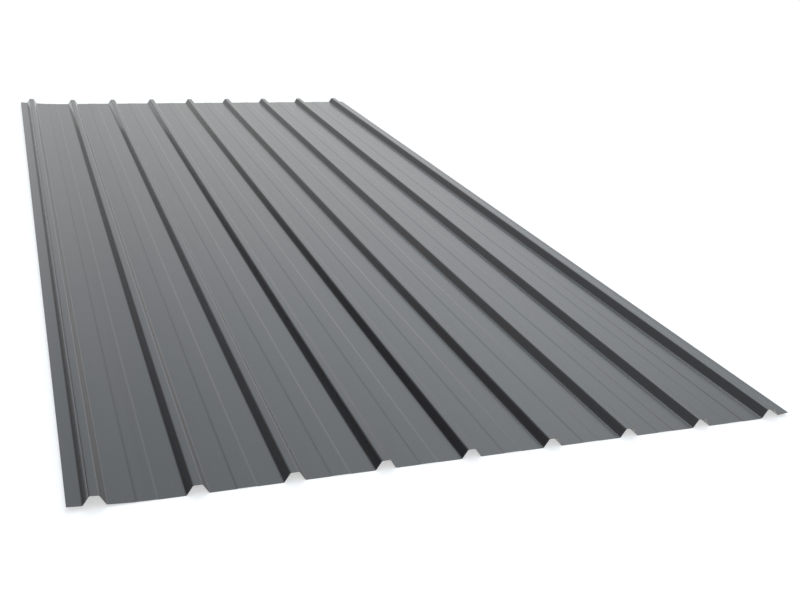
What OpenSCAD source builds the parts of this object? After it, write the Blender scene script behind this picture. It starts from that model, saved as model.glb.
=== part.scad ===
// Trapezoidal profiled metal sheet: one coil-coated steel strip, roll-formed
// into narrow ribs with wide flat pans between them.
// X runs across the ribs, Y along them and Z up. The origin is under the middle
// of the sheet, on the surface that the pans lie on.

/* [Sheet] */
// Length of the sheet, along the ribs
sheet_length = 2500; // [500:50:8000]
// Thickness of the metal
sheet_thickness = 0.5; // [0.4:0.05:1]

/* [Ribs] */
// Number of ribs across the sheet
rib_count = 9; // [2:1:15]
// Distance from the middle of one rib to the middle of the next
rib_pitch = 131.25; // [110:0.25:250]
// Rise of a crest above the pans
rib_height = 14; // [10:0.5:30]
// Width of a rib at its foot, between the corners before they are rounded
rib_foot = 30; // [28:0.5:50]
// Width of a rib's crest, between the corners before they are rounded
rib_crest = 12.5; // [8:0.5:20]
// Radius of a rib's bends, in the middle of the metal
rib_bend_radius = 3; // [1.5:0.25:4]

/* [Pan bands] */
// Width of the raised band along each pan, from the middle of one flank to the other
band_width = 27; // [20:0.5:40]
// Rise of the band above the pan
band_rise = 0.5; // [0.4:0.1:2]
// Width of each sloping flank of the band
band_flank = 3; // [1.5:0.25:4]
// Radius of the band's bends, in the middle of the metal
band_bend_radius = 2; // [1:0.25:2]

/* [Side laps] */
// Width of the flat lip outside the first rib, up to the rib's foot
left_lip = 18; // [8:0.5:60]
// Width of the flat lip outside the last rib, up to the rib's foot
right_lip = 22; // [8:0.5:60]

/* [Hidden] */

sheet_colour = [0.37, 0.39, 0.41];

// A bend is drawn with facets that turn no further than this
facet_turn = 15;

// Ribs and lips together, from one cut edge to the other
rib_span = (rib_count - 1) * rib_pitch + rib_foot;
sheet_width = left_lip + rib_span + right_lip;

// The section is followed from left to right along the middle of the metal
left_edge = -sheet_width / 2;
pan_level = sheet_thickness / 2;
first_rib = left_edge + left_lip + rib_foot / 2;

// Two corners up and two corners down, as [x, z, bend radius], for a trapezoid
// that stands on the pan with its middle at x
function trapezoid(x, foot, top, rise, radius) = [
    [x - foot / 2, pan_level, radius],
    [x - top / 2, pan_level + rise, radius],
    [x + top / 2, pan_level + rise, radius],
    [x + foot / 2, pan_level, radius]
];

function rib(x) = trapezoid(x, rib_foot, rib_crest, rib_height, rib_bend_radius);

function band(x) =
    trapezoid(x, band_width + band_flank, band_width - band_flank, band_rise, band_bend_radius);

// Every corner of the section, with its two cut edges as the first and last
corners = [
    [left_edge, pan_level, 0],
    for (i = [0 : rib_count - 1])
        let (x = first_rib + i * rib_pitch)
            each concat(rib(x), i < rib_count - 1 ? band(x + rib_pitch / 2) : []),
    [left_edge + sheet_width, pan_level, 0]
];

function heading(from, to) = atan2(to[1] - from[1], to[0] - from[0]);
function forward(angle) = [cos(angle), sin(angle)];
function upward(angle) = [-sin(angle), cos(angle)];
function place(corner) = [corner[0], corner[1]];

// Points round one bend, on the face that lies at an offset above the middle of
// the metal. Both faces share the bend's centre, so the thickness stays the same.
function bend(before, corner, after, offset) =
    let (
        start = heading(before, corner),
        turn = heading(corner, after) - start,
        radius = sign(turn) * corner[2],
        tangent = corner[2] * tan(abs(turn) / 2),
        centre = place(corner) - tangent * forward(start) + radius * upward(start),
        facets = ceil(abs(turn) / facet_turn)
    )
    [for (i = [0 : facets]) centre + (offset - radius) * upward(start + turn * i / facets)];

// One face of the section, from the left cut edge to the right one
function face(offset) =
    let (last = len(corners) - 1)
    concat(
        [place(corners[0]) + offset * upward(heading(corners[0], corners[1]))],
        [for (i = [1 : last - 1]) each bend(corners[i - 1], corners[i], corners[i + 1], offset)],
        [place(corners[last]) + offset * upward(heading(corners[last - 1], corners[last]))]
    );

function reversed(points) = [for (i = [len(points) - 1 : -1 : 0]) points[i]];

module section() {
    polygon(concat(face(-sheet_thickness / 2), reversed(face(sheet_thickness / 2))));
}

module profiled_sheet() {
    color(sheet_colour)
        rotate([90, 0, 0])
            linear_extrude(height = sheet_length, center = true)
                section();
}

profiled_sheet();
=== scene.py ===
"""Looks of a trapezoidal profiled metal sheet: a coated steel strip lying on a pale studio floor.

The visible sheet is swept along the section of the CAD node, with the slight spring, shift and waviness
that a real strip keeps after roll forming. Lengths are in metres unless a name says otherwise.
"""
import math
from collections import namedtuple

import bpy
import numpy as np
from mathutils import Matrix, Vector


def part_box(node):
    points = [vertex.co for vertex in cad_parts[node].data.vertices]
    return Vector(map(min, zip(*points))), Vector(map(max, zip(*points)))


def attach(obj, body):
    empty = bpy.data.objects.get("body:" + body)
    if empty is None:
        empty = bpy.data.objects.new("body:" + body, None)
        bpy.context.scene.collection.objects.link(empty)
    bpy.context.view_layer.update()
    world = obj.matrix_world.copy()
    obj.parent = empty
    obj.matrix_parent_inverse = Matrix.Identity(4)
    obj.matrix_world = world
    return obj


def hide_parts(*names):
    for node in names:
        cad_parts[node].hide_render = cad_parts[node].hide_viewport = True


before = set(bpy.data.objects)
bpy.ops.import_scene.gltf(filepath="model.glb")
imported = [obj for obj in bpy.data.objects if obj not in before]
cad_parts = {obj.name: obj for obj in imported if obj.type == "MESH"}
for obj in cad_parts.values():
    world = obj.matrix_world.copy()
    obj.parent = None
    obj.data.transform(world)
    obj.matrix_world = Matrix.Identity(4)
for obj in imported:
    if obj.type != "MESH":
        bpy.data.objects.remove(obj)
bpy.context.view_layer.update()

SHEET_NODE = "profiled_sheet"
MM = 0.001

# Camera, fitted to the outline of the sheet in the photograph. An unturned camera looks straight down.
IMAGE_WIDTH_PX = 800
FOCAL_PX = 1041.5
SENSOR_MM = 36.0
CAMERA_PLACE = (-0.5868, -2.4344, 0.7626)
CAMERA_HEADING_DEG = 21.205
CAMERA_LEVEL_DEG = 90
CAMERA_DIP_DEG = 21.745
CAMERA_ROLL_DEG = 3.81

# Faces of the CAD node: the normal of an end face points along the sheet by more than the first value,
# and that of a face of the top or back points up or down by at least the second. Points that agree to
# this many digits are one.
END_FACE = 0.5
OUTER_FACE = 0.05
POINT_DIGITS = 6

# Mesh of the sheet: rows of points along it, the widest strip across it, and the fold that stays sharp
STATIONS = 64
WIDEST_STRIP = 9 * MM
SHARP_EDGE_DEG = 40

# Spring of the two long edges: how far in from the edge it reaches, its rise at the near and far end,
# and the power of its curve
LEFT_SPRING = (100 * MM, (6.7 * MM, 7.2 * MM), 1.25)
RIGHT_SPRING = (85 * MM, (5.3 * MM, 1.2 * MM), 2)

# The ribs sit this far right of their even places: the first and last all along, the others at the ends.
# The lips take up the shift, and these distances from a long edge part the outer ribs from the others.
RIB_SHIFT = 1.9 * MM
LIP_INNER = 16 * MM
INNER_FROM = (56 * MM, 76 * MM)
END_POWER = 4

# Faint waves along the flat strips, each with its length, its start in turns and its slant in radians
# for every metre across. They fade out between two heights at the foot of the ribs.
WAVE_RISE = 0.09 * MM
WAVES = ((0.93, 0.0, 9), (0.57, 3.1, 16), (0.38, 6.2, 23))
WAVE_FADE = (1.5 * MM, 3 * MM)

# Flat map of the strip: the top takes the left half, the back the right half, and the cut edges lie between
MAP_NAME = "OFBake"
TOP_MAP = (0.0, 0.49)
BACK_MAP = (0.51, 1.0)
EDGE_MAPS = ((0.492, 0.495), (0.496, 0.499), (0.501, 0.504), (0.505, 0.508))

# Materials of the sheet in the order of its slots
TOP_SLOT, BACK_SLOT, CUT_SLOT = range(3)

# Colours, as linear light
TOP_COAT = (0.0305, 0.0285, 0.0300)
BACK_COAT = (0.68, 0.68, 0.64)
CUT_METAL = (0.16, 0.16, 0.17)
FLOOR_COLOUR = (0.62, 0.62, 0.62)
FLOOR_GLOW = 0.50

# Noises of the finishes: waves per metre across, along and up, and the detail
TOP_STREAKS = ((160, 0.8, 160), 3)
TOP_CLOUDS = ((6, 4, 6), 2)
TOP_GRAIN = ((190, 190, 190), 2)
BACK_STREAKS = ((120, 0.8, 120), 3)
BACK_CLOUDS = ((7, 4, 7), 3)
SHEAR_MARKS = ((900, 900, 900), 2)

# The middle of a noise, the ranges it is spread over, in pairs for streaks and clouds, and the grain's height
NOISE_MIDDLE = (0.3, 0.7)
TOP_SHADE = ((0.97, 1.03), (0.97, 1.03))
TOP_ROUGHNESS = ((0.165, 0.195), (0.97, 1.03))
BACK_SHADE = ((0.975, 1.025), (0.98, 1.02))
BACK_ROUGHNESS = (0.42, 0.52)
CUT_SHADE = (0.8, 1.2)
CUT_ROUGHNESS = (0.4, 0.6)
GRAIN_RISE = 0.05 * MM

# Floor, a little below the sheet
FLOOR_SIZE = 300.0
FLOOR_DROP = 0.2 * MM

# Studio light: a wide soft light behind the sheet, brighter to the right and upwards. It ends at an edge
# on the right, and at a slanted edge on the left with darkness below. The front and sides have a plain
# fill over white walls, the horizon is white all round, and one soft lamp hangs above the back.
# Places, heights and blurs are parts of a direction of length 1. Angles are a turn to the right of
# straight back and a rise.
REAR_LOW, REAR_HIGH = 1.61, 2.89
REAR_HIGH_AT = 0.75
REAR_FROM = (0.3, 0.55)
LEFT_END, RIGHT_END = -0.55, 1.17
LEFT_SHARE = 0.27
LEFT_AXIS_DEG = (78, 62)
LEFT_BLUR = 0.04
RIGHT_AXIS_DEG = (-62, 28.5)
RIGHT_BLUR = 0.2
WALL_LIGHT, FILL_LIGHT = 1.0, 0.65
WALL_TOP = (0.12, 0.25)
HORIZON_TOP = (0.018, 0.026)
TOP_LIGHT = 0.97
TOP_FROM = (0.7, 0.9)

# The lamp: its place, the angles from its middle to its outer and inner rim, and its strength
LAMP_PLACE_DEG = (10, 50)
LAMP_REACH_DEG = (12, 4)
LAMP_LIGHT = 3.0

# Tint of the light low down and high up, and the heights between which it changes
LOW_LIGHT = (1.0, 1.0, 1.0)
HIGH_LIGHT = (0.925, 1.01, 1.067)
TINT_HEIGHTS = (0.2, 0.5)

# One side of the strip: its material slot, the grid of its point numbers, the grids of its flat map
# across and along, and if its faces are turned over
Side = namedtuple("Side", "slot points across along turned")


# Shape of the sheet

def spread(limits, share):
    """The number at a share of the way between two limits."""
    return limits[0] + (limits[1] - limits[0]) * share


def section_line(mesh, upward):
    """One face of the section of the CAD node, as (x, z) points from left to right."""
    points = set()
    for face in mesh.polygons:
        if abs(face.normal.y) > END_FACE or face.normal.z * upward < OUTER_FACE:
            continue
        for index in face.vertices:
            place = mesh.vertices[index].co
            points.add((round(place.x, POINT_DIGITS), round(place.z, POINT_DIGITS)))
    return np.array(sorted(points))


def refined(line, partner):
    """Both lines with extra points on their wide strips, so that these can bow."""
    lines = []
    counts = np.ceil(np.linalg.norm(np.diff(line, axis=0), axis=1) / WIDEST_STRIP).astype(int)
    for points in (line, partner):
        steps = [
            points[i] + (points[i + 1] - points[i]) * k / count
            for i, count in enumerate(counts)
            for k in range(count)
        ]
        lines.append(np.array(steps + [points[-1]]))
    return lines


def edge_spring(x, along, edge_x, spring):
    """Rise of a long edge that has sprung up a little, falling to nothing at its reach."""
    reach, rises, power = spring
    share = np.clip(1 - np.abs(x - edge_x) / reach, 0, 1)
    return share ** power * spread(rises, along)


def rib_shift(x, along, low, high):
    """How far each point moves to the right with its rib."""
    from_edge = np.minimum(x - low.x, high.x - x)
    lip = np.interp(from_edge, (0, LIP_INNER), (0, 1))
    inner = np.interp(from_edge, INNER_FROM, (0, 1))
    ends = (2 * along - 1) ** END_POWER
    return RIB_SHIFT * lip * (1 - inner + inner * ends)


def pan_wave(x, z, y, low):
    """Rise of the faint waves that run along the flat strips. Ribs stay as they are."""
    flat = np.interp(z - low.z, WAVE_FADE, (1, 0))
    wave = sum(
        np.sin(2 * math.pi * (y / length + start) + x * slant)
        for length, start, slant in WAVES
    )
    return flat * WAVE_RISE * (1 + wave / len(WAVES))


def swept(line, low, high):
    """The section line repeated at every station along the sheet, as rows of points."""
    along = np.linspace(0, 1, STATIONS)[:, None]
    x = np.broadcast_to(line[:, 0], (STATIONS, len(line)))
    z = np.broadcast_to(line[:, 1], (STATIONS, len(line)))
    y = spread((low.y, high.y), along) + 0 * x
    rise = pan_wave(x, z, y, low)
    rise = rise + edge_spring(x, along, low.x, LEFT_SPRING)
    rise = rise + edge_spring(x, along, high.x, RIGHT_SPRING)
    return np.stack([x + rib_shift(x, along, low, high), y, z + rise], axis=2)


def unrolled(line):
    """Distance along a section line, from 0 at the left edge to 1 at the right."""
    steps = np.linalg.norm(np.diff(line, axis=0), axis=1)
    distance = np.concatenate([[0], np.cumsum(steps)])
    return distance / distance[-1]


def cut_edge(limits, upper, lower, share, turned):
    """The cut edge between a line of the top and a line of the back."""
    points = np.stack([upper, lower], axis=1)
    return Side(CUT_SLOT, points, np.array([limits]) + 0 * points, share[:, None] + 0 * points, turned)


def strip_sides(top, back, across):
    """The top, the back and the four cut edges of the strip."""
    along = np.linspace(0, 1, STATIONS)
    rows = along[:, None]
    left, right, near, far = EDGE_MAPS
    return [
        Side(TOP_SLOT, top, spread(TOP_MAP, across) + 0 * top, rows + 0 * top, False),
        Side(BACK_SLOT, back, spread(BACK_MAP, across) + 0 * back, rows + 0 * back, True),
        cut_edge(left, top[:, 0], back[:, 0], along, True),
        cut_edge(right, top[:, -1], back[:, -1], along, False),
        cut_edge(near, top[0], back[0], across, False),
        cut_edge(far, top[-1], back[-1], across, True),
    ]


def quads(grid, turned):
    """The four corners of every cell of a grid, in order round the cell."""
    corners = [grid[:-1, :-1], grid[:-1, 1:], grid[1:, 1:], grid[1:, :-1]]
    if turned:
        corners.reverse()
    return np.stack(corners, axis=-1).reshape(-1, 4)


def strip_mesh(points, sides):
    """One closed mesh of all sides, with the flat map of the strip for its finish."""
    faces = [quads(side.points, side.turned) for side in sides]
    slots = np.repeat([side.slot for side in sides], [len(part) for part in faces])
    map_u = np.concatenate([quads(side.across, side.turned) for side in sides])
    map_v = np.concatenate([quads(side.along, side.turned) for side in sides])

    mesh = bpy.data.meshes.new("sheet")
    mesh.from_pydata(points.reshape(-1, 3).tolist(), [], np.concatenate(faces).tolist())
    mesh.polygons.foreach_set("material_index", slots.astype(np.int32))
    mesh.polygons.foreach_set("use_smooth", np.ones(len(slots), bool))
    flat_map = mesh.uv_layers.new(name=MAP_NAME)
    flat_map.data.foreach_set("uv", np.stack([map_u, map_v], axis=-1).astype(np.float32).ravel())
    mesh.set_sharp_from_angle(angle=math.radians(SHARP_EDGE_DEG))
    return mesh


def sheet_mesh():
    """The sheet, swept from the section of the CAD node."""
    low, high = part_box(SHEET_NODE)
    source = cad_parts[SHEET_NODE].data
    upper, lower = refined(section_line(source, 1), section_line(source, -1))
    points = np.concatenate([swept(upper, low, high), swept(lower, low, high)], axis=1)
    count = len(upper)
    numbers = np.arange(STATIONS * 2 * count).reshape(STATIONS, 2 * count)
    sides = strip_sides(numbers[:, :count], numbers[:, count:], unrolled(upper))
    return strip_mesh(points, sides)


def sheet_piece(materials):
    """The sheet as an object, with its wide flat strips shaded flat."""
    piece = bpy.data.objects.new("sheet", sheet_mesh())
    bpy.context.scene.collection.objects.link(piece)
    for material in materials:
        piece.data.materials.append(material)
    normals = piece.modifiers.new("flat_strips", "WEIGHTED_NORMAL")
    normals.mode = "FACE_AREA"
    normals.keep_sharp = True
    return piece


# Nodes that the materials and the studio share

def joined(tree, operation, first, second):
    """Two numbers joined by a math operation."""
    node = tree.nodes.new("ShaderNodeMath")
    node.operation = operation
    tree.links.new(first, node.inputs[0])
    tree.links.new(second, node.inputs[1])
    return node.outputs["Value"]


def ramp(tree, value, start, end, low=0.0, high=1.0, kind="LINEAR"):
    """A blend from low at the start to high at the end, and level beyond them."""
    node = tree.nodes.new("ShaderNodeMapRange")
    node.interpolation_type = kind
    node.inputs["From Min"].default_value = start
    node.inputs["From Max"].default_value = end
    node.inputs["To Min"].default_value = low
    node.inputs["To Max"].default_value = high
    tree.links.new(value, node.inputs["Value"])
    return node.outputs["Result"]


# Materials

def new_material(name):
    """A new material, its node tree and its shader."""
    material = bpy.data.materials.new(name)
    material.use_nodes = True
    tree = material.node_tree
    shader = tree.nodes["Principled BSDF"]
    return material, tree, shader


def stretched_noise(tree, scale, detail):
    """Noise whose scale, in waves per metre, is set for each axis of the sheet."""
    coordinates = tree.nodes.new("ShaderNodeTexCoord")
    mapping = tree.nodes.new("ShaderNodeMapping")
    mapping.inputs["Scale"].default_value = scale
    noise = tree.nodes.new("ShaderNodeTexNoise")
    noise.inputs["Scale"].default_value = 1
    noise.inputs["Detail"].default_value = detail
    tree.links.new(coordinates.outputs["Object"], mapping.inputs["Vector"])
    tree.links.new(mapping.outputs["Vector"], noise.inputs["Vector"])
    return noise.outputs["Fac"]


def ranged(tree, noise, limits):
    """The middle of a noise spread over a range."""
    return ramp(tree, noise, *NOISE_MIDDLE, *limits)


def varied(tree, noises, ranges):
    """Two noises, each spread over its own range, multiplied."""
    first, second = (ranged(tree, noise, limits) for noise, limits in zip(noises, ranges))
    return joined(tree, "MULTIPLY", first, second)


def tinted(tree, colour, factor):
    """A colour made lighter and darker by a factor around 1."""
    node = tree.nodes.new("ShaderNodeVectorMath")
    node.operation = "SCALE"
    node.inputs[0].default_value = colour
    tree.links.new(factor, node.inputs["Scale"])
    return node.outputs["Vector"]


def grained(tree, noise, rise):
    """The surface with a fine relief of a given height."""
    node = tree.nodes.new("ShaderNodeBump")
    node.inputs["Distance"].default_value = rise
    tree.links.new(noise, node.inputs["Height"])
    return node.outputs["Normal"]


def top_coat():
    """Satin anthracite paint with faint streaks along the strip, soft clouds and a fine grain."""
    material, tree, shader = new_material("top_coat")
    noises = [stretched_noise(tree, *TOP_STREAKS), stretched_noise(tree, *TOP_CLOUDS)]
    tree.links.new(tinted(tree, TOP_COAT, varied(tree, noises, TOP_SHADE)), shader.inputs["Base Color"])
    tree.links.new(varied(tree, noises, TOP_ROUGHNESS), shader.inputs["Roughness"])
    grain = grained(tree, stretched_noise(tree, *TOP_GRAIN), GRAIN_RISE)
    tree.links.new(grain, shader.inputs["Normal"])
    return material


def back_coat():
    """Thin light backing paint with the same kind of streaks and clouds."""
    material, tree, shader = new_material("back_coat")
    noises = [stretched_noise(tree, *BACK_STREAKS), stretched_noise(tree, *BACK_CLOUDS)]
    tree.links.new(tinted(tree, BACK_COAT, varied(tree, noises, BACK_SHADE)), shader.inputs["Base Color"])
    tree.links.new(ranged(tree, noises[1], BACK_ROUGHNESS), shader.inputs["Roughness"])
    return material


def cut_metal():
    """Sheared steel and zinc at the cut edges."""
    material, tree, shader = new_material("cut_metal")
    shear = stretched_noise(tree, *SHEAR_MARKS)
    tree.links.new(tinted(tree, CUT_METAL, ranged(tree, shear, CUT_SHADE)), shader.inputs["Base Color"])
    tree.links.new(ranged(tree, shear, CUT_ROUGHNESS), shader.inputs["Roughness"])
    shader.inputs["Metallic"].default_value = 1
    return material


def floor_paint():
    """Matt paint that looks white to the camera and to reflections, and still takes the object's shadow."""
    material, tree, shader = new_material("floor")
    shader.inputs["Base Color"].default_value = (*FLOOR_COLOUR, 1)
    shader.inputs["Roughness"].default_value = 1
    shader.inputs["Specular IOR Level"].default_value = 0
    shader.inputs["Emission Color"].default_value = (1, 1, 1, 1)
    rays = tree.nodes.new("ShaderNodeLightPath").outputs
    seen = joined(tree, "MAXIMUM", rays["Is Camera Ray"], rays["Is Glossy Ray"])
    seen = joined(tree, "MAXIMUM", seen, rays["Is Transmission Ray"])
    tree.links.new(ramp(tree, seen, 0, 1, 0, FLOOR_GLOW), shader.inputs["Emission Strength"])
    return material


# Studio

def floor():
    """A plain pale floor that reaches far past the sheet."""
    half = FLOOR_SIZE / 2
    corners = [(-half, -half, 0), (half, -half, 0), (half, half, 0), (-half, half, 0)]
    mesh = bpy.data.meshes.new("floor")
    mesh.from_pydata(corners, [], [(0, 1, 2, 3)])
    piece = bpy.data.objects.new("floor", mesh)
    piece.location.z = -FLOOR_DROP
    bpy.context.scene.collection.objects.link(piece)
    mesh.materials.append(floor_paint())


def heading(turn_deg, rise_deg):
    """A direction from its turn to the right of straight back and its rise above the floor."""
    turn = math.radians(turn_deg)
    rise = math.radians(rise_deg)
    return (math.sin(turn) * math.cos(rise), math.cos(turn) * math.cos(rise), math.sin(rise))


def facing(tree, direction, angles_deg):
    """How far a direction points towards a heading, from -1 to 1."""
    dot = tree.nodes.new("ShaderNodeVectorMath")
    dot.operation = "DOT_PRODUCT"
    dot.inputs[1].default_value = heading(*angles_deg)
    tree.links.new(direction, dot.inputs[0])
    return dot.outputs["Value"]


def light_edge(tree, direction, axis_deg, blur):
    """0 on one side of a straight soft edge in the sky and 1 on the side that its axis points to."""
    return ramp(tree, facing(tree, direction, axis_deg), -blur, blur, kind="SMOOTHSTEP")


def mixed(tree, factor, first, second):
    """A number between two others, where either may be plain or linked."""
    node = tree.nodes.new("ShaderNodeMix")
    node.data_type = "FLOAT"
    tree.links.new(factor, node.inputs["Factor"])
    for socket, value in ((node.inputs["A"], first), (node.inputs["B"], second)):
        if isinstance(value, float):
            socket.default_value = value
        else:
            tree.links.new(value, socket)
    return node.outputs["Result"]


def rear_light(tree, direction, across, height):
    """The wide soft light behind the sheet, as far as its slanted left edge."""
    light = ramp(tree, height, 0, REAR_HIGH_AT, REAR_LOW, REAR_HIGH)
    lean = ramp(tree, across, LEFT_END, RIGHT_END, LEFT_SHARE, 1, "SMOOTHSTEP")
    light = joined(tree, "MULTIPLY", light, lean)
    return joined(tree, "MULTIPLY", light, light_edge(tree, direction, LEFT_AXIS_DEG, LEFT_BLUR))


def soft_lamp(tree, direction):
    """The round lamp above the back, with a soft rim."""
    outer, inner = (math.cos(math.radians(reach)) for reach in LAMP_REACH_DEG)
    towards = facing(tree, direction, LAMP_PLACE_DEG)
    return ramp(tree, towards, outer, inner, 0, LAMP_LIGHT, "SMOOTHSTEP")


def sky_strength(tree, direction, across, back, height):
    """Brightness of the studio in every direction."""
    fill = ramp(tree, height, *WALL_TOP, WALL_LIGHT, FILL_LIGHT)
    rear = rear_light(tree, direction, across, height)
    light = mixed(tree, light_edge(tree, direction, RIGHT_AXIS_DEG, RIGHT_BLUR), fill, rear)
    light = mixed(tree, ramp(tree, back, *REAR_FROM, kind="SMOOTHSTEP"), fill, light)
    light = mixed(tree, ramp(tree, height, *HORIZON_TOP), WALL_LIGHT, light)
    light = mixed(tree, ramp(tree, height, *TOP_FROM, kind="SMOOTHSTEP"), light, TOP_LIGHT)
    return joined(tree, "ADD", light, soft_lamp(tree, direction))


def sky_tint(tree, height):
    """Colour of the light, from low down to high up."""
    tint = tree.nodes.new("ShaderNodeMix")
    tint.data_type = "RGBA"
    low, high = [socket for socket in tint.inputs if socket.type == "RGBA"]
    low.default_value = (*LOW_LIGHT, 1)
    high.default_value = (*HIGH_LIGHT, 1)
    tree.links.new(ramp(tree, height, *TINT_HEIGHTS), tint.inputs["Factor"])
    return [socket for socket in tint.outputs if socket.type == "RGBA"][0]


def studio_light():
    """The world as a plain soft studio."""
    world = bpy.data.worlds.new("studio")
    bpy.context.scene.world = world
    world.use_nodes = True
    tree = world.node_tree
    direction = tree.nodes.new("ShaderNodeTexCoord").outputs["Generated"]
    parts = tree.nodes.new("ShaderNodeSeparateXYZ")
    tree.links.new(direction, parts.inputs["Vector"])
    across, back, height = parts.outputs
    background = tree.nodes["Background"]
    tree.links.new(sky_tint(tree, height), background.inputs["Color"])
    strength = sky_strength(tree, direction, across, back, height)
    tree.links.new(strength, background.inputs["Strength"])


def rotation(degrees, axis):
    """A turn about one axis."""
    return Matrix.Rotation(math.radians(degrees), 4, axis)


def camera():
    """The camera at the photograph's viewpoint."""
    data = bpy.data.cameras.new("camera")
    data.sensor_fit = "HORIZONTAL"
    data.sensor_width = SENSOR_MM
    data.lens = SENSOR_MM * FOCAL_PX / IMAGE_WIDTH_PX
    viewer = bpy.data.objects.new("camera", data)
    turn = rotation(-CAMERA_HEADING_DEG, "Z")
    dip = rotation(CAMERA_LEVEL_DEG - CAMERA_DIP_DEG, "X")
    roll = rotation(CAMERA_ROLL_DEG, "Z")
    viewer.matrix_world = Matrix.Translation(Vector(CAMERA_PLACE)) @ turn @ dip @ roll
    bpy.context.scene.collection.objects.link(viewer)
    bpy.context.scene.camera = viewer


bpy.context.scene.view_settings.view_transform = "Standard"
sheet = sheet_piece([top_coat(), back_coat(), cut_metal()])
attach(sheet, "root")
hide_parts(SHEET_NODE)
floor()
studio_light()
camera()
